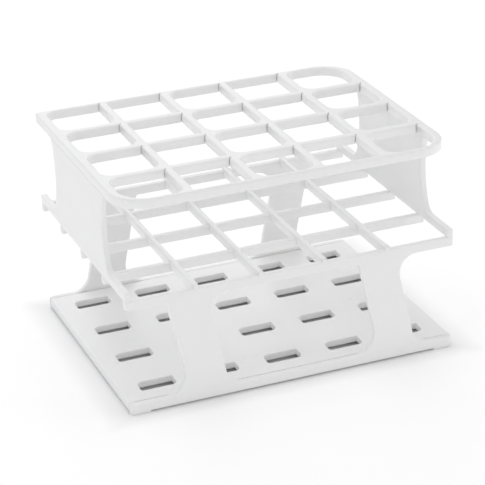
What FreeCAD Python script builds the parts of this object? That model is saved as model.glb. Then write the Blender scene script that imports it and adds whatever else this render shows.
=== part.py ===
"""Test tube rack with three levels, moulded in white plastic, in millimetres.

Two leg frames, one the other turned half a turn, stand along the front and the rear on low soles. Each
is one flat moulding: a sill at the bottom, two leaning legs, and a strip of the middle tier on top. The
slotted base plate lies between their sills, clear of the table. Three rails and four cross bars make
the middle tier's lattice. Two waisted end panels stand on the tier and carry the thin top grid with
its openings.

The origin is on the table under the middle of the rack. +X runs along the row of columns, +Y from
the front to the rear, and +Z up.
"""
import FreeCAD, Part
import math
import os
from FreeCAD import Vector

# Driving dimensions of the lattice
PITCH = 29.5
COLUMNS = 5
ROWS = 4
LENGTH = 152.0
DEPTH = 118.5

# Heights above the table
SOLE_HEIGHT = 0.8
BASE_TOP = 5.0
TIER_BOTTOM = 49.4
TIER_TOP = 53.6
CROSS_BAR_BOTTOM = 50.7
CROSS_BAR_TOP = 55.1
PANEL_FOOT_TOP = 57.4
GRID_BOTTOM = 93.4
GRID_TOP = 97.6

# Base plate
BASE_THICKNESS = 3.1
BASE_RIB_WIDTH = 2.6
DRAIN_LENGTH = 16.4
DRAIN_WIDTH = 8.0
DRAIN_ROUND_RADIUS = 2.8
DRAIN_TIGHT_RADIUS = 1.0
BASE_TENON_LENGTH = 12.0
BASE_TENON_DEPTH = 1.6

# Leg frames
FRAME_THICKNESS = 2.6
LEG_WIDTH = 17.6
LEG_LEAN = 0.215
UNDERCUT_RADIUS = 8.5
HEEL_RADIUS = 10.0
SHIN_RADIUS = 8.0
KNEE_RADIUS = 1.5
SOLE_LENGTH = 9.0
SILL_CORNER_RADIUS = 2.5

# Middle tier
RAIL_WIDTH = 2.7
CROSS_BAR_WIDTH = 2.4
LAP_LEVEL = 52.15

# End panels
PANEL_THICKNESS = 2.6
PANEL_TOP_REACH = 35.8
PANEL_WAIST_REACH = 29.1
PANEL_WAIST_LEVEL = 76.6
PANEL_WAIST_RADIUS = 37.0
PANEL_HEEL_REACH = 37.4
PANEL_HEEL_RADIUS = 5.0
PANEL_TENON_LENGTH = 12.0
PANEL_TENON_REACH = 20.0

# Small tenons and tabs
TENON_THICKNESS = 1.4
TENON_DEPTH = 2.4
TAB_WIDTH = 1.3
TAB_DEPTH = 2.0

# Top grid
GRID_BAR_WIDTH = 3.7
GRID_CORNER_RADIUS = 15.5
OUTER_CELL_RADIUS = 12.0
CELL_RADIUS = 5.5
RELIEF_WIDTH = 0.7
RELIEF_DEPTH = 1.2
SHARP = 0.0
TOUCHING = 0.001

column_x = [(i - (COLUMNS - 1) / 2) * PITCH for i in range(COLUMNS)]
row_y = [(j - (ROWS - 1) / 2) * PITCH for j in range(ROWS)]
cross_bar_x = [(a + b) / 2 for a, b in zip(column_x, column_x[1:])]
rail_y = [(a + b) / 2 for a, b in zip(row_y, row_y[1:])]
leg_x = (-1.5 * PITCH, 1.5 * PITCH)
strip_y = DEPTH / 2 - FRAME_THICKNESS / 2
base_reach_y = DEPTH / 2 - FRAME_THICKNESS
panel_x = LENGTH / 2 - PANEL_THICKNESS / 2


def block(x, y, low, high, size_x, size_y):
    """Box centred on x, y, from height low to height high."""
    corner = Vector(x - size_x / 2, y - size_y / 2, low)
    return Part.makeBox(size_x, size_y, high - low, corner)


def outline(corners):
    """Closed wire in the XY plane through corners (x, y, radius), each rounded by its radius."""
    starts = []
    edges = []
    for i, (x, y, radius) in enumerate(corners):
        here = Vector(x, y, 0)
        before = Vector(*corners[i - 1][:2], 0)
        after = Vector(*corners[(i + 1) % len(corners)][:2], 0)
        if radius == SHARP:
            starts.append((here, None, here))
            continue
        back = (before - here).normalize()
        ahead = (after - here).normalize()
        half = back.getAngle(ahead) / 2
        setback = radius / math.tan(half)
        bisector = (back + ahead).normalize()
        middle = here + bisector * (radius / math.sin(half) - radius)
        starts.append((here + back * setback, middle, here + ahead * setback))
    for i, (_, _, leave) in enumerate(starts):
        arrive, middle, depart = starts[(i + 1) % len(starts)]
        if leave.distanceToPoint(arrive) > TOUCHING:
            edges.append(Part.LineSegment(leave, arrive).toShape())
        if middle is not None:
            edges.append(Part.Arc(arrive, middle, depart).toShape())
    return Part.Wire(edges)


def plate(corners, low, high):
    """Flat plate lying between two heights, cut to an outline."""
    solid = Part.Face(outline(corners)).extrude(Vector(0, 0, high - low))
    solid.translate(Vector(0, 0, low))
    return solid


def upright(corners, thickness):
    """Plate standing in the XZ plane, centred on Y = 0; an outline's y becomes the height."""
    solid = plate(corners, -thickness / 2, thickness / 2)
    solid.rotate(Vector(0, 0, 0), Vector(1, 0, 0), 90)
    return solid


def half_turn(solid):
    """The same moulding turned half a turn about the rack's upright axis."""
    turned = solid.copy()
    turned.rotate(Vector(0, 0, 0), Vector(0, 0, 1), 180)
    return turned


def leg_centre(middle, height):
    """X of a leaning leg's centre line at a height; middle is its X halfway up."""
    halfway = (BASE_TOP + TIER_BOTTOM) / 2
    return middle + LEG_LEAN * (halfway - height)


def drain_slot(x, y):
    """Oblong cutter for one drain slot, with two opposite corners well rounded and two nearly square."""
    reach_x = DRAIN_LENGTH / 2
    reach_y = DRAIN_WIDTH / 2
    corners = [
        (x - reach_x, y - reach_y, DRAIN_TIGHT_RADIUS),
        (x + reach_x, y - reach_y, DRAIN_ROUND_RADIUS),
        (x + reach_x, y + reach_y, SHARP),
        (x - reach_x, y + reach_y, DRAIN_ROUND_RADIUS),
    ]
    return plate(corners, 0, BASE_TOP)


def base_tenons():
    """Tenons along the base plate's front edge, which sit in the front sill below the legs."""
    middle = BASE_TOP - BASE_THICKNESS / 2
    low = middle - TENON_THICKNESS / 2
    high = middle + TENON_THICKNESS / 2
    y = -base_reach_y - BASE_TENON_DEPTH / 2
    return [block(x, y, low, high, BASE_TENON_LENGTH, BASE_TENON_DEPTH) for x in leg_x]


def panel_tabs():
    """Small tabs under the left panel, one for each rail end and strip end."""
    tab_y = [-strip_y, *rail_y, strip_y]
    return [block(-panel_x, y, TIER_TOP - TAB_DEPTH, TIER_TOP, TENON_THICKNESS, TAB_WIDTH) for y in tab_y]


def panel_tenons():
    """Long tenons on the left panel's top edge, which stand in the grid's rim."""
    return [
        block(-panel_x, y, GRID_BOTTOM, GRID_BOTTOM + TENON_DEPTH, TENON_THICKNESS, PANEL_TENON_LENGTH)
        for y in (-PANEL_TENON_REACH, PANEL_TENON_REACH)
    ]


def both_ends(solids):
    """A list of cutters and the same cutters turned half a turn."""
    return solids + [half_turn(solid) for solid in solids]


def make_base_plate():
    body = block(0, 0, BASE_TOP - BASE_THICKNESS, BASE_TOP, LENGTH, base_reach_y * 2)
    rib_x = (LENGTH - BASE_RIB_WIDTH) / 2
    ribs = [block(x, 0, SOLE_HEIGHT, BASE_TOP, BASE_RIB_WIDTH, base_reach_y * 2) for x in (-rib_x, rib_x)]
    slots = [drain_slot(x, y) for x in column_x for y in row_y]
    return body.fuse(ribs + both_ends(base_tenons())).cut(slots).removeSplitter()


def cross_bar_seats(y, thickness):
    """Cutters that leave a rail or strip its seats for the cross bars."""
    return [block(x, y, LAP_LEVEL, CROSS_BAR_TOP, CROSS_BAR_WIDTH, thickness) for x in cross_bar_x]


def leg_sides(middle):
    """X of a leg's left and right sides at its top and at its bottom."""
    top = leg_centre(middle, TIER_BOTTOM)
    bottom = leg_centre(middle, BASE_TOP)
    half = LEG_WIDTH / 2
    return top - half, top + half, bottom - half, bottom + half


def make_front_leg_frame():
    reach = LENGTH / 2
    sole_end = reach - SOLE_LENGTH
    left_top, left_undercut, left_heel, left_shin = leg_sides(leg_x[0])
    right_top, right_undercut, right_heel, right_shin = leg_sides(leg_x[1])
    border = [
        (-reach, TIER_TOP, SHARP),
        (reach, TIER_TOP, SHARP),
        (reach, TIER_BOTTOM, SHARP),
        (right_undercut, TIER_BOTTOM, UNDERCUT_RADIUS),
        (right_shin, BASE_TOP, SHIN_RADIUS),
        (reach, BASE_TOP, SHARP),
        (reach, 0, SHARP),
        (sole_end, 0, SHARP),
        (sole_end, SOLE_HEIGHT, SHARP),
        (-sole_end, SOLE_HEIGHT, SHARP),
        (-sole_end, 0, SHARP),
        (-reach, 0, SHARP),
        (-reach, BASE_TOP, SHARP),
        (left_heel, BASE_TOP, HEEL_RADIUS),
        (left_top, TIER_BOTTOM, KNEE_RADIUS),
        (-reach, TIER_BOTTOM, SHARP),
    ]
    window = [
        (left_shin, BASE_TOP, SHIN_RADIUS),
        (right_heel, BASE_TOP, HEEL_RADIUS),
        (right_top, TIER_BOTTOM, KNEE_RADIUS),
        (left_undercut, TIER_BOTTOM, UNDERCUT_RADIUS),
    ]
    frame = upright(border, FRAME_THICKNESS).cut(upright(window, FRAME_THICKNESS))
    frame.translate(Vector(0, -strip_y, 0))
    sill_corners = [
        edge
        for edge in frame.Edges
        if edge.BoundBox.YMax < -DEPTH / 2 + TOUCHING
        and abs(edge.BoundBox.XMin) > reach - TOUCHING
        and edge.BoundBox.ZMin < TOUCHING
        and edge.BoundBox.ZMax > BASE_TOP - TOUCHING
    ]
    frame = frame.makeFillet(SILL_CORNER_RADIUS, sill_corners)
    seats = cross_bar_seats(-strip_y, FRAME_THICKNESS)
    return frame.cut(seats + base_tenons() + both_ends(panel_tabs())).removeSplitter()


def make_left_end_panel():
    reach = DEPTH / 2
    front_edge = [
        (-reach, TIER_TOP, SHARP),
        (-reach, PANEL_FOOT_TOP, SHARP),
        (-PANEL_HEEL_REACH, PANEL_FOOT_TOP, PANEL_HEEL_RADIUS),
        (-PANEL_WAIST_REACH, PANEL_WAIST_LEVEL, PANEL_WAIST_RADIUS),
        (-PANEL_TOP_REACH, GRID_BOTTOM, SHARP),
    ]
    rear_edge = [(-y, height, radius) for y, height, radius in reversed(front_edge)]
    panel = upright(front_edge + rear_edge, PANEL_THICKNESS)
    panel.rotate(Vector(0, 0, 0), Vector(0, 0, 1), 90)
    panel.translate(Vector(-panel_x, 0, 0))
    return panel.fuse(panel_tabs() + panel_tenons()).removeSplitter()


def make_rail(y):
    rail = block(0, y, TIER_BOTTOM, TIER_TOP, LENGTH, RAIL_WIDTH)
    return rail.cut(cross_bar_seats(y, RAIL_WIDTH) + both_ends(panel_tabs()))


def make_cross_bar(x):
    crown = CROSS_BAR_WIDTH / 2
    half = CROSS_BAR_WIDTH / 2
    corners = [
        (x - half, CROSS_BAR_BOTTOM, SHARP),
        (x - half, CROSS_BAR_TOP, crown),
        (x + half, CROSS_BAR_TOP, crown),
        (x + half, CROSS_BAR_BOTTOM, SHARP),
    ]
    bar = upright(corners, DEPTH)
    seats = [(y, RAIL_WIDTH) for y in rail_y] + [(-strip_y, FRAME_THICKNESS), (strip_y, FRAME_THICKNESS)]
    for y, width in seats:
        bar = bar.cut(block(x, y, TIER_BOTTOM, LAP_LEVEL, CROSS_BAR_WIDTH, width))
    return bar


def cell_radii(column, row):
    """Corner radii of one opening: front left, front right, rear right, rear left.

    The grid's own rear left corner is square, so only three openings follow a rounded grid corner.
    """
    radii = [SHARP] * 4
    if column % 2 == 0:
        radii = [CELL_RADIUS, CELL_RADIUS, SHARP, CELL_RADIUS]
    rack_corner = {
        (0, 0): 0,
        (COLUMNS - 1, 0): 1,
        (COLUMNS - 1, ROWS - 1): 2,
    }
    if (column, row) in rack_corner:
        radii[rack_corner[(column, row)]] = OUTER_CELL_RADIUS
    return radii


def corner_relief(x, y):
    """Narrow slit cut diagonally into a square corner of an opening."""
    slit = block(0, 0, GRID_BOTTOM, GRID_TOP, RELIEF_DEPTH * 2, RELIEF_WIDTH)
    slit.rotate(Vector(0, 0, 0), Vector(0, 0, 1), 45)
    slit.translate(Vector(x, y, 0))
    return slit


def make_top_grid():
    reach_x = LENGTH / 2
    reach_y = DEPTH / 2
    corners = [
        (-reach_x, -reach_y, GRID_CORNER_RADIUS),
        (reach_x, -reach_y, GRID_CORNER_RADIUS),
        (reach_x, reach_y, GRID_CORNER_RADIUS),
        (-reach_x, reach_y, SHARP),
    ]
    grid = plate(corners, GRID_BOTTOM, GRID_TOP)
    half = (PITCH - GRID_BAR_WIDTH) / 2
    cells = []
    for column, x in enumerate(column_x):
        for row, y in enumerate(row_y):
            places = [(x - half, y - half), (x + half, y - half), (x + half, y + half), (x - half, y + half)]
            radii = cell_radii(column, row)
            rounded = [(*place, radius) for place, radius in zip(places, radii)]
            cells.append(plate(rounded, GRID_BOTTOM, GRID_TOP))
            if radii[2] == SHARP:
                cells.append(corner_relief(x + half, y + half))
    return grid.cut(cells + both_ends(panel_tenons())).removeSplitter()


front_leg_frame = make_front_leg_frame()
left_end_panel = make_left_end_panel()
pieces = {
    "base_plate": make_base_plate(),
    "front_leg_frame": front_leg_frame,
    "rear_leg_frame": half_turn(front_leg_frame),
    "left_end_panel": left_end_panel,
    "right_end_panel": half_turn(left_end_panel),
    "top_grid": make_top_grid(),
}
for name, y in zip(("front_rail", "centre_rail", "rear_rail"), rail_y):
    pieces[name] = make_rail(y)
for number, x in enumerate(cross_bar_x, start=1):
    pieces[f"cross_bar_{number}"] = make_cross_bar(x)

os.makedirs("parts", exist_ok=True)
for name, shape in pieces.items():
    if shape.ShapeType == "Compound" and len(shape.Solids) == 1:
        shape = shape.Solids[0]
    print(name, shape.ShapeType, len(shape.Solids), shape.isValid(), round(shape.Volume), shape.BoundBox)
    shape.exportStep(f"parts/{name}.step")
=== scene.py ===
"""Looks of a white moulded test tube rack, built piece by piece around its CAD frame.

Shapes are drawn in millimetres and brought to metres when a piece is finished. +X runs along the
rack, +Y from its front to its rear, and +Z up from the table.
"""
import math

import bmesh
import bpy
from mathutils import Matrix, Quaternion, Vector


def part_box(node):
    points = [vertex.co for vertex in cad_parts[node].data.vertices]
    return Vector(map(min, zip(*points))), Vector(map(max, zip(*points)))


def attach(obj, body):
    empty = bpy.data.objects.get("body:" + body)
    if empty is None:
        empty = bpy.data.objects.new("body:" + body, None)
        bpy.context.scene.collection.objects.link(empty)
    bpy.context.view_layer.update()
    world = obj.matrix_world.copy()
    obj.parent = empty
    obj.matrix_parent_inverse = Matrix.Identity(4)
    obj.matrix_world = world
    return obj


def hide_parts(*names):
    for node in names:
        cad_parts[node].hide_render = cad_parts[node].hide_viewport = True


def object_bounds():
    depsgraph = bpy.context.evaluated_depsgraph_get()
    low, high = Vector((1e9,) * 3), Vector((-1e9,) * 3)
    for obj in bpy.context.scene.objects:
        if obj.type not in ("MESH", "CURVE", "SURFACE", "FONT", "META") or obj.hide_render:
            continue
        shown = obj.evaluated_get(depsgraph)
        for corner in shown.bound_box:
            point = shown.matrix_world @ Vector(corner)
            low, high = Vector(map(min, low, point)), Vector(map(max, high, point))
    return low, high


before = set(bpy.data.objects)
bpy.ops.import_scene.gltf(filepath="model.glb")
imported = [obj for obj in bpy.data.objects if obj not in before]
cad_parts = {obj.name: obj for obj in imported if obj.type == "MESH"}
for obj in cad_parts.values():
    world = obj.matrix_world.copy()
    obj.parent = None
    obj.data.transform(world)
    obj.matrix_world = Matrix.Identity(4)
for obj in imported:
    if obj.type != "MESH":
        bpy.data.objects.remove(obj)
cad_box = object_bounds()

# ---------------------------------------------------------------- studio
# The rack stands on a wide white table, under an overhead softbox set a little behind it and four
# panels round it. The table glows faintly outside the rack's footprint, so that only the shadows
# near the rack darken it. A long lens looks down over the front left corner.
lens_mm = 153.1
view_azimuth = math.radians(-21.09)
view_elevation = math.radians(24.18)
view_roll = math.radians(-2.01)
view_distance = 0.9334
aim = Vector((0, 0, 0.0419))

towards_camera = Vector((
    math.sin(view_azimuth) * math.cos(view_elevation),
    -math.cos(view_azimuth) * math.cos(view_elevation),
    math.sin(view_elevation),
))
camera = bpy.data.objects.new("studio_camera", bpy.data.cameras.new("studio_camera"))
camera.data.lens = lens_mm
camera.data.sensor_width = 36
camera.data.clip_start = 0.01
camera.location = aim + towards_camera * view_distance
camera.rotation_mode = "QUATERNION"
level = (-towards_camera).to_track_quat("-Z", "Y")
camera.rotation_quaternion = level @ Quaternion((0, 0, 1), view_roll)
bpy.context.scene.collection.objects.link(camera)
bpy.context.scene.camera = camera
bpy.context.scene.view_settings.view_transform = "Standard"


def softbox(name, place, width, depth, power, colour):
    """Square or oblong area light aimed at the middle of the rack."""
    light = bpy.data.lights.new(name, "AREA")
    light.shape = "RECTANGLE"
    light.size = width
    light.size_y = depth
    light.energy = power
    light.color = colour
    lamp = bpy.data.objects.new(name, light)
    lamp.location = place
    lamp.rotation_mode = "QUATERNION"
    lamp.rotation_quaternion = (aim - Vector(place)).to_track_quat("-Z", "Y")
    bpy.context.scene.collection.objects.link(lamp)


softbox("overhead_softbox", (-0.10, 0.35, 0.95), 1.1, 0.9, 3.0, (1, 1, 1))
softbox("left_panel", (-1.2, -0.2, 0.5), 0.8, 0.8, 1.3, (0.95, 0.94, 1))
softbox("right_panel", (1.2, -0.3, 0.5), 0.8, 0.8, 3.0, (1, 0.985, 0.94))
softbox("front_panel", (-0.25, -1.3, 0.55), 1.0, 0.8, 1.5, (1, 0.99, 0.96))
softbox("rear_panel", (0.1, 1.3, 0.6), 1.0, 0.8, 2.0, (1, 1, 1))

sky = bpy.data.worlds.new("white_studio")
sky.use_nodes = True
sky.node_tree.nodes["Background"].inputs["Color"].default_value = (0.985, 0.985, 1, 1)
sky.node_tree.nodes["Background"].inputs["Strength"].default_value = 0.55
bpy.context.scene.world = sky


class Flow:
    """An output of a material's node, with sums and products written as Python expressions."""

    def __init__(self, socket):
        self.socket = socket

    def math(self, operation, first, second):
        return add_node(
            self.socket.id_data, "ShaderNodeMath", {"operation": operation}, {0: first, 1: second},
        )

    def __add__(self, other):
        return self.math("ADD", self, other)

    def __sub__(self, other):
        return self.math("SUBTRACT", self, other)

    def __rsub__(self, other):
        return self.math("SUBTRACT", other, self)

    def __mul__(self, other):
        return self.math("MULTIPLY", self, other)

    __radd__ = __add__
    __rmul__ = __mul__


def add_node(tree, kind, settings, inputs, output=0):
    """New node: settings are made first, then its sockets' values or links. Gives one output."""
    node = tree.nodes.new(kind)
    for setting, value in settings.items():
        setattr(node, setting, value)
    for socket, value in inputs.items():
        if isinstance(value, Flow):
            tree.links.new(value.socket, node.inputs[socket])
        else:
            node.inputs[socket].default_value = value
    return Flow(node.outputs[output])


table_reach = 6.0
table_glow = 0.17
glow_starts = 1.0
full_glow = 1.18

table_mesh = bmesh.new()
bmesh.ops.create_grid(table_mesh, x_segments=1, y_segments=1, size=table_reach)
table_data = bpy.data.meshes.new("white_table")
table_mesh.to_mesh(table_data)
table = bpy.data.objects.new("white_table", table_data)
bpy.context.scene.collection.objects.link(table)
table_top = bpy.data.materials.new("white_table_top")
table_top.use_nodes = True
table_shader = table_top.node_tree.nodes["Principled BSDF"]
table_shader.inputs["Base Color"].default_value = (0.95, 0.95, 0.95, 1)
table_shader.inputs["Roughness"].default_value = 0.9
table_shader.inputs["Emission Strength"].default_value = table_glow
table_place = add_node(table_top.node_tree, "ShaderNodeTexCoord", {}, {}, "Object")
# Both ways the rack's own reach counts as 1, so that the glow follows the footprint's four sides.
reach_shares = [1 / cad_box[1].x, 1 / cad_box[1].y, 0]
from_middle = add_node(
    table_top.node_tree, "ShaderNodeVectorMath", {"operation": "MULTIPLY"},
    {0: table_place, 1: reach_shares},
)
sides = table_top.node_tree.nodes.new("ShaderNodeSeparateXYZ")
table_top.node_tree.links.new(from_middle.socket, sides.inputs[0])
along = Flow(sides.outputs["X"]).math("ABSOLUTE", Flow(sides.outputs["X"]), 0.0)
across = Flow(sides.outputs["Y"]).math("ABSOLUTE", Flow(sides.outputs["Y"]), 0.0)
glow = add_node(
    table_top.node_tree, "ShaderNodeMapRange", {"clamp": True},
    {
        "Value": along.math("MAXIMUM", along, across),
        "From Min": glow_starts, "From Max": full_glow,
    },
)
lit = add_node(
    table_top.node_tree, "ShaderNodeMix", {"data_type": "RGBA"},
    {"Factor": glow, "A": (0, 0, 0, 1), "B": (1, 1, 1, 1)}, "Result",
)
table_top.node_tree.links.new(lit.socket, table_shader.inputs["Emission Color"])
table_data.materials.append(table_top)

# ---------------------------------------------------------------- base plate
# One injection moulding in white polypropylene: a thin plate with a drain slot under every tube
# place, stiffened by a rib along each end. It lies between the two leg frames' sills.
drain_length = 16.4
drain_width = 8.0
drain_corners = (1.0, 2.8, 0.2, 2.8)
base_thickness = 3.1
end_rib_width = 2.6
plate_edge = 0.35
moulded_corner = 0.6
rim_steps = 3
flat_border = 0.04
square_angle = math.radians(80)
smooth_angle = math.radians(42)
level_normal = 0.9999
side_tilt = 0.05


def corners_mm(node):
    """Lowest and highest corner of a CAD node, in millimetres."""
    low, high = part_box(node)
    return low * 1000, high * 1000


def add_outline(shape, corners):
    """Closed loop in the XY plane through corners (x, y, radius), each rounded by its radius."""
    places = [Vector((x, y, 0)) for x, y, _ in corners]
    points = [shape.verts.new(place) for place in places]
    for first, second in zip(points, points[1:] + points[:1]):
        shape.edges.new((first, second))
    for i, point in enumerate(points):
        radius = corners[i][2]
        if radius == 0:
            continue
        back = places[i - 1] - places[i]
        ahead = places[(i + 1) % len(places)] - places[i]
        opening = back.angle(ahead)
        # A wide turn and a large radius take more steps.
        steps = math.ceil((math.pi - opening) * (1.5 + 2 * math.sqrt(radius)))
        bmesh.ops.bevel(
            shape, geom=[point], affect="VERTICES", offset=radius / math.tan(opening / 2),
            segments=steps, profile=0.5, material=-1,
        )


def cut_plate(outlines, thickness):
    """Flat plate centred on height 0, cut to a border and holes."""
    shape = bmesh.new()
    for outline in outlines:
        add_outline(shape, outline)
    bmesh.ops.triangle_fill(shape, use_beauty=True, edges=shape.edges[:])
    bmesh.ops.translate(shape, vec=(0, 0, -thickness / 2), verts=shape.verts[:])
    raised = bmesh.ops.extrude_face_region(shape, geom=shape.faces[:])["geom"]
    raised = [part for part in raised if isinstance(part, bmesh.types.BMVert)]
    bmesh.ops.translate(shape, vec=(0, 0, thickness), verts=raised)
    bmesh.ops.recalc_face_normals(shape, faces=shape.faces[:])
    return shape


def round_edges(shape, edges, radius, steps):
    """Rounds edges by a radius."""
    bmesh.ops.bevel(
        shape, geom=edges, affect="EDGES", offset=radius, segments=steps, profile=0.5, material=-1,
    )


def square_rims(shape):
    """Edges where a plate's upper or lower face still meets its sides squarely."""
    return [
        edge for edge in shape.edges
        if edge.calc_face_angle() > square_angle
        and max(abs(face.normal.z) for face in edge.link_faces) > side_tilt
    ]


def border_flats(shape):
    """Leaves a hair-thin strip round the flat faces, so that they shade flat beside round edges."""
    for side in (-1, 1):
        flats = [face for face in shape.faces if face.normal.z * side > level_normal]
        bmesh.ops.inset_region(shape, faces=flats, thickness=flat_border, use_boundary=True)


def oblong(x, y, size_x, size_y, radii):
    """Corners of a rectangle centred on x, y, from the front left one, anticlockwise."""
    signs = ((-1, -1), (1, -1), (1, 1), (-1, 1))
    return [
        (x + a * size_x / 2, y + b * size_y / 2, radius) for (a, b), radius in zip(signs, radii)
    ]


def white_plastic(name, start, tone=(0.915, 0.916, 0.912), gloss=0.36):
    """Satin white polypropylene: faint clouds from its flow, a fine grain, and polished edges."""
    material = bpy.data.materials.new(name)
    material.use_nodes = True
    tree = material.node_tree
    shader = tree.nodes["Principled BSDF"]
    place = add_node(tree, "ShaderNodeTexCoord", {}, {}, "Object")
    moved = add_node(tree, "ShaderNodeMapping", {}, {"Vector": place, "Location": start})
    clouds = add_node(
        tree, "ShaderNodeTexNoise", {}, {"Vector": moved, "Scale": 42.0, "Detail": 3.0},
    )
    waves = add_node(
        tree, "ShaderNodeTexNoise", {}, {"Vector": moved, "Scale": 130.0, "Detail": 1.0},
    )
    grain = add_node(
        tree, "ShaderNodeTexNoise", {}, {"Vector": moved, "Scale": 1900.0, "Detail": 2.0},
    )
    pointed = add_node(tree, "ShaderNodeNewGeometry", {}, {}, "Pointiness")
    edges = add_node(
        tree, "ShaderNodeMapRange", {"clamp": True},
        {"Value": pointed, "From Min": 0.505, "From Max": 0.56},
    )
    cloudy_tone = [channel * 0.975 for channel in tone]
    milky = add_node(
        tree, "ShaderNodeMix", {"data_type": "RGBA"},
        {"Factor": clouds, "A": (*cloudy_tone, 1), "B": (*tone, 1)}, "Result",
    )
    tree.links.new(milky.socket, shader.inputs["Base Color"])
    roughness = gloss + 0.10 * (clouds - 0.5) + 0.08 * (grain - 0.5) - 0.06 * edges
    tree.links.new(roughness.socket, shader.inputs["Roughness"])
    relief = 0.10 * waves + 0.012 * grain
    bump = add_node(
        tree, "ShaderNodeBump", {}, {"Strength": 0.5, "Distance": 0.0012, "Height": relief},
    )
    tree.links.new(bump.socket, shader.inputs["Normal"])
    shader.inputs["IOR"].default_value = 1.49
    shader.inputs["Subsurface Weight"].default_value = 0.15
    shader.inputs["Subsurface Radius"].default_value = (1, 1, 1)
    shader.inputs["Subsurface Scale"].default_value = 0.0006
    return material


def finish_piece(shape, name, material):
    """Brings a shape from millimetres to metres and makes it an object that moves with the rack."""
    bmesh.ops.scale(shape, vec=(0.001, 0.001, 0.001), verts=shape.verts[:])
    data = bpy.data.meshes.new(name)
    shape.to_mesh(data)
    shape.free()
    data.shade_smooth()
    data.set_sharp_from_angle(angle=smooth_angle)
    data.materials.append(material)
    piece = bpy.data.objects.new(name, data)
    bpy.context.scene.collection.objects.link(piece)
    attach(piece, "root")
    return piece


def spaced(first, last, count):
    """Evenly spaced places from first to last."""
    return [first + (last - first) * i / (count - 1) for i in range(count)]


base_low, base_high = corners_mm("base_plate")
sill_low, sill_high = corners_mm("front_leg_frame")
bar_one_low, bar_one_high = corners_mm("cross_bar_1")
bar_four_low, bar_four_high = corners_mm("cross_bar_4")
cross_bar_x = spaced(
    (bar_one_low.x + bar_one_high.x) / 2, (bar_four_low.x + bar_four_high.x) / 2, 4,
)
pitch = cross_bar_x[1] - cross_bar_x[0]
column_x = spaced(-2 * pitch, 2 * pitch, 5)
row_y = spaced(-1.5 * pitch, 1.5 * pitch, 4)
base_reach_y = -sill_high.y

slots = [oblong(x, y, drain_length, drain_width, drain_corners) for x in column_x for y in row_y]
border = oblong(0, 0, base_high.x - base_low.x, base_reach_y * 2, [moulded_corner] * 4)
shape = cut_plate([border, *slots], base_thickness)
rib_side = base_high.x - end_rib_width
for side in (-rib_side, rib_side):
    whole = shape.verts[:] + shape.edges[:] + shape.faces[:]
    bmesh.ops.bisect_plane(shape, geom=whole, plane_co=(side, 0, 0), plane_no=(1, 0, 0))
under_ends = [
    face for face in shape.faces
    if face.normal.z < -level_normal and abs(face.calc_center_median().x) > rib_side
]
end_edges = list(dict.fromkeys(edge for face in under_ends for edge in face.edges))
ribs = bmesh.ops.extrude_face_region(shape, geom=under_ends + end_edges)["geom"]
ribs = [part for part in ribs if isinstance(part, bmesh.types.BMVert)]
bmesh.ops.translate(shape, vec=(0, 0, base_low.z + base_thickness - base_high.z), verts=ribs)
round_edges(shape, square_rims(shape), plate_edge, rim_steps)
border_flats(shape)
bmesh.ops.translate(shape, vec=(0, 0, base_high.z - base_thickness / 2), verts=shape.verts[:])
base_plate = finish_piece(
    shape, "base_plate_moulding", white_plastic("base_plate_plastic", (0.3, 0.1, 0)),
)
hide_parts("base_plate")

# ---------------------------------------------------------------- leg frames
# Two equal flat mouldings, one turned half a turn. Each has a sill on low soles at its bottom, two
# legs that lean the same way, and the middle tier's strip on top, with the bars' seats in it.
leg_width = 17.6
leg_lean = 0.215
undercut_radius = 8.5
heel_radius = 10.0
shin_radius = 8.0
knee_radius = 1.5
sole_length = 9.0
sole_height = 0.8
strip_height = 4.2
sill_corner_radius = 2.0
sill_corner_steps = 6
frame_edge = 0.35
seat_gap = 0.01
same_place = 0.01

frame_thickness = sill_high.y - sill_low.y
strip_top = sill_high.z
strip_bottom = strip_top - strip_height
sill_top = base_high.z
reach = sill_high.x


def leg_sides(middle):
    """X of a leg's left and right sides at its top and at its bottom."""
    shift = leg_lean * (strip_bottom - sill_top) / 2
    half = leg_width / 2
    return (
        middle - shift - half, middle - shift + half, middle + shift - half, middle + shift + half,
    )


def upright(shape):
    """Stands a flat shape up, so that its Y becomes the height and its underside faces the rear."""
    bmesh.ops.rotate(shape, matrix=Matrix.Rotation(math.pi / 2, 3, "X"), verts=shape.verts[:])


left_top, left_undercut, left_heel, left_shin = leg_sides(-1.5 * pitch)
right_top, right_undercut, right_heel, right_shin = leg_sides(1.5 * pitch)
sole_end = reach - sole_length
lap_level = (strip_top + bar_one_low.z) / 2
seat_half = (bar_one_high.x - bar_one_low.x) / 2 + seat_gap


def seats(places, level, depth, half):
    """Corners of the square notches cut into a bar's edge, in the order of their places."""
    return [
        notch for place in places
        for notch in (
            (place - half, level, 0), (place - half, depth, 0),
            (place + half, depth, 0), (place + half, level, 0),
        )
    ]


def rims_outside_seats(shape):
    """A bar's square rims, without those that a crossing bar fills."""
    near = seat_half + same_place
    return [
        edge for edge in square_rims(shape)
        if not any(all(abs(vert.co.x - x) < near for vert in edge.verts) for x in cross_bar_x)
    ]


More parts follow.
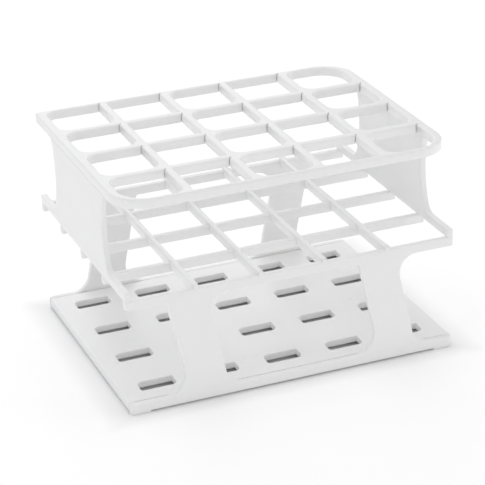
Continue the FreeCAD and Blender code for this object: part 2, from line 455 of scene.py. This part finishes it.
frame_border = [
    (-reach, strip_top, 0), *seats(cross_bar_x, strip_top, lap_level, seat_half),
    (reach, strip_top, 0), (reach, strip_bottom, moulded_corner),
    (right_undercut, strip_bottom, undercut_radius), (right_shin, sill_top, shin_radius),
    (reach, sill_top, 0), (reach, 0, 0), (sole_end, 0, 0), (sole_end, sole_height, 0),
    (-sole_end, sole_height, 0), (-sole_end, 0, 0), (-reach, 0, 0), (-reach, sill_top, 0),
    (left_heel, sill_top, heel_radius), (left_top, strip_bottom, knee_radius),
    (-reach, strip_bottom, moulded_corner),
]
frame_window = [
    (left_shin, sill_top, shin_radius), (right_heel, sill_top, heel_radius),
    (right_top, strip_bottom, knee_radius), (left_undercut, strip_bottom, undercut_radius),
]
for name, turn, start in (("front", 0, (0.1, 0.4, 0.2)), ("rear", math.pi, (0.7, 0.2, 0.5))):
    shape = cut_plate([frame_border, frame_window], frame_thickness)
    sill_ends = [
        edge for edge in shape.edges
        if all(
            abs(vert.co.x) > reach - same_place and vert.co.y < sill_top + same_place
            and vert.co.z > 0
            for vert in edge.verts
        )
    ]
    round_edges(shape, sill_ends, sill_corner_radius, sill_corner_steps)
    round_edges(shape, rims_outside_seats(shape), frame_edge, rim_steps)
    border_flats(shape)
    upright(shape)
    bmesh.ops.translate(shape, vec=(0, (sill_low.y + sill_high.y) / 2, 0), verts=shape.verts[:])
    bmesh.ops.rotate(shape, matrix=Matrix.Rotation(turn, 3, "Z"), verts=shape.verts[:])
    leg_frame = finish_piece(
        shape, f"{name}_leg_moulding", white_plastic(f"{name}_leg_plastic", start),
    )
    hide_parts(f"{name}_leg_frame")

# ---------------------------------------------------------------- rails
# Three flat bars along the rack between the rows of tubes, from end to end of the middle tier.
# Their ends show under the end panels.
rail_edge = 0.35
for name, start in (("front", (0.2, 0, 0.1)), ("centre", (0.5, 0, 0.3)), ("rear", (0.8, 0, 0.6))):
    low, high = corners_mm(f"{name}_rail")
    middle = (low + high) / 2
    side_view = [
        (low.x, high.z, moulded_corner), *seats(cross_bar_x, high.z, lap_level, seat_half),
        (high.x, high.z, moulded_corner), (high.x, low.z, moulded_corner),
        (low.x, low.z, moulded_corner),
    ]
    shape = cut_plate([side_view], high.y - low.y)
    round_edges(shape, rims_outside_seats(shape), rail_edge, rim_steps)
    border_flats(shape)
    upright(shape)
    bmesh.ops.translate(shape, vec=(0, middle.y, 0), verts=shape.verts[:])
    rail = finish_piece(
        shape, f"{name}_rail_moulding", white_plastic(f"{name}_rail_plastic", start),
    )
    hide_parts(f"{name}_rail")

# ---------------------------------------------------------------- cross bars
# Four bars from front to rear between the columns, seated over the rails and over both strips.
# Their tops are round and stand proud of the tier, and their square ends have eased rims.
bar_end_radius = 0.35
crown_radius = 0.95
crown_steps = 6

rail_low, rail_high = corners_mm("rear_rail")
rail_half = (rail_high.y - rail_low.y) / 2 + seat_gap
rail_y = spaced(-pitch, pitch, 3)
strip_side = frame_thickness + seat_gap
for number in range(1, 5):
    low, high = corners_mm(f"cross_bar_{number}")
    middle = (low + high) / 2
    width = high.x - low.x
    side_view = [
        (low.y, lap_level, 0), (low.y + strip_side, lap_level, 0), (low.y + strip_side, low.z, 0),
        *seats(rail_y, low.z, lap_level, rail_half),
        (high.y - strip_side, low.z, 0), (high.y - strip_side, lap_level, 0),
        (high.y, lap_level, 0), (high.y, high.z, 0), (low.y, high.z, 0),
    ]
    shape = cut_plate([side_view], width)
    long_edges = [
        edge for edge in square_rims(shape)
        if edge.calc_length() > width and all(vert.co.y > strip_top for vert in edge.verts)
    ]
    round_edges(shape, long_edges, crown_radius, crown_steps)
    end_rims = [
        edge for edge in shape.edges
        if edge.calc_face_angle() > square_angle and all(
            abs(vert.co.x) > high.y - same_place and vert.co.y > strip_top for vert in edge.verts
        )
    ]
    round_edges(shape, end_rims, bar_end_radius, rim_steps)
    border_flats(shape)
    upright(shape)
    bmesh.ops.rotate(shape, matrix=Matrix.Rotation(math.pi / 2, 3, "Z"), verts=shape.verts[:])
    bmesh.ops.translate(shape, vec=(middle.x, 0, 0), verts=shape.verts[:])
    bar = finish_piece(
        shape, f"cross_bar_{number}_moulding",
        white_plastic(f"cross_bar_{number}_plastic", (0, number, 0)),
    )
    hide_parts(f"cross_bar_{number}")

# ---------------------------------------------------------------- end panels
# Two equal solid panels, one turned half a turn. Low feet run out to the tier's corners, the sides
# draw in to a waist, and the top edge carries the grid's rim.
panel_top_reach = 35.8
waist_reach = 29.1
waist_level = 76.6
waist_radius = 37.0
heel_reach = 37.4
panel_heel_radius = 5.0
foot_height = 3.8
panel_edge = 0.35
joint_margin = 0.1
level_slip = 0.001

panel_low, panel_high = corners_mm("left_end_panel")
panel_thickness = panel_high.x - panel_low.x
panel_top = corners_mm("top_grid")[0].z
half_outline = [
    (panel_low.y, strip_top, 0), (panel_low.y, strip_top + foot_height, moulded_corner),
    (-heel_reach, strip_top + foot_height, panel_heel_radius),
    (-waist_reach, waist_level, waist_radius), (-panel_top_reach, panel_top, 0),
]
panel_outline = half_outline + [
    (-y, height, radius) for y, height, radius in reversed(half_outline)
]
for name, turn, start in (("left", 0, (0.3, 0.3, 0.9)), ("right", math.pi, (0.6, 0.9, 0.1))):
    shape = cut_plate([panel_outline], panel_thickness)
    # The level edges that meet the tier and the grid stay square.
    open_rims = [
        edge for edge in square_rims(shape)
        if abs(edge.verts[0].co.y - edge.verts[1].co.y) > level_slip
        or strip_top + joint_margin < edge.verts[0].co.y < panel_top - joint_margin
    ]
    round_edges(shape, open_rims, panel_edge, rim_steps)
    border_flats(shape)
    upright(shape)
    bmesh.ops.rotate(shape, matrix=Matrix.Rotation(math.pi / 2, 3, "Z"), verts=shape.verts[:])
    bmesh.ops.translate(shape, vec=((panel_low.x + panel_high.x) / 2, 0, 0), verts=shape.verts[:])
    bmesh.ops.rotate(shape, matrix=Matrix.Rotation(turn, 3, "Z"), verts=shape.verts[:])
    panel = finish_piece(shape, f"{name}_end_moulding", white_plastic(f"{name}_end_plastic", start))
    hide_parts(f"{name}_end_panel")

# ---------------------------------------------------------------- top grid
# The thin top tier, one moulding with an opening for every tube. Its upper edges are well rounded
# so that tubes slip in. A narrow relief slit is cut into the rear right corner of every opening but
# the rear right one.
grid_bar_width = 3.7
grid_corner_radius = 15.5
outer_cell_radius = 12.0
cell_radius = 5.5
tight_cell_radius = 0.4
grid_tight_corner = 1.1
relief_width = 0.7
relief_depth = 1.2
grid_edge = 0.8
grid_under_edge = 0.2
slit_edge_least = 0.6

grid_low, grid_high = corners_mm("top_grid")
cell = pitch - grid_bar_width


def relief_corner(x, y):
    """Four corners that follow a diagonal slit cut into an opening's rear right corner."""
    half = relief_width / 2 * math.sqrt(2)
    deep = relief_depth / math.sqrt(2)
    side = relief_width / 2 / math.sqrt(2)
    return [
        (x, y - half, 0), (x + deep + side, y + deep - side, 0),
        (x + deep - side, y + deep + side, 0), (x - half, y, 0),
    ]


openings = []
for column, x in enumerate(column_x):
    for row, y in enumerate(row_y):
        radii = [cell_radius if column % 2 == 0 else tight_cell_radius] * 4
        rack_corner = {(0, 0): 0, (4, 0): 1, (4, 3): 2}.get((column, row))
        if rack_corner is not None:
            radii[rack_corner] = outer_cell_radius
        corners = oblong(x, y, cell, cell, radii)
        if rack_corner != 2:
            corners[2:3] = relief_corner(x + cell / 2, y + cell / 2)
        openings.append(corners)
grid_border = oblong(
    0, 0, grid_high.x - grid_low.x, grid_high.y - grid_low.y,
    [grid_corner_radius] * 3 + [grid_tight_corner],
)
shape = cut_plate([grid_border, *openings], grid_high.z - grid_low.z)
diagonal = math.sqrt(0.5)
slit_edges = [
    edge for edge in shape.edges
    if edge.verts[0].co.z == edge.verts[1].co.z and edge.calc_length() > slit_edge_least
    and abs(abs((edge.verts[0].co - edge.verts[1].co).normalized().x) - diagonal) < level_slip
]
for level, radius, steps in ((1, grid_edge, 4), (-1, grid_under_edge, 2)):
    rims = [
        edge for edge in square_rims(shape)
        if edge.verts[0].co.z * level > 0 and edge not in slit_edges
    ]
    round_edges(shape, rims, radius, steps)
border_flats(shape)
bmesh.ops.translate(shape, vec=(0, 0, (grid_low.z + grid_high.z) / 2), verts=shape.verts[:])
top_grid = finish_piece(
    shape, "top_grid_moulding", white_plastic("top_grid_plastic", (0.9, 0.5, 0.4)),
)
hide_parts("top_grid")
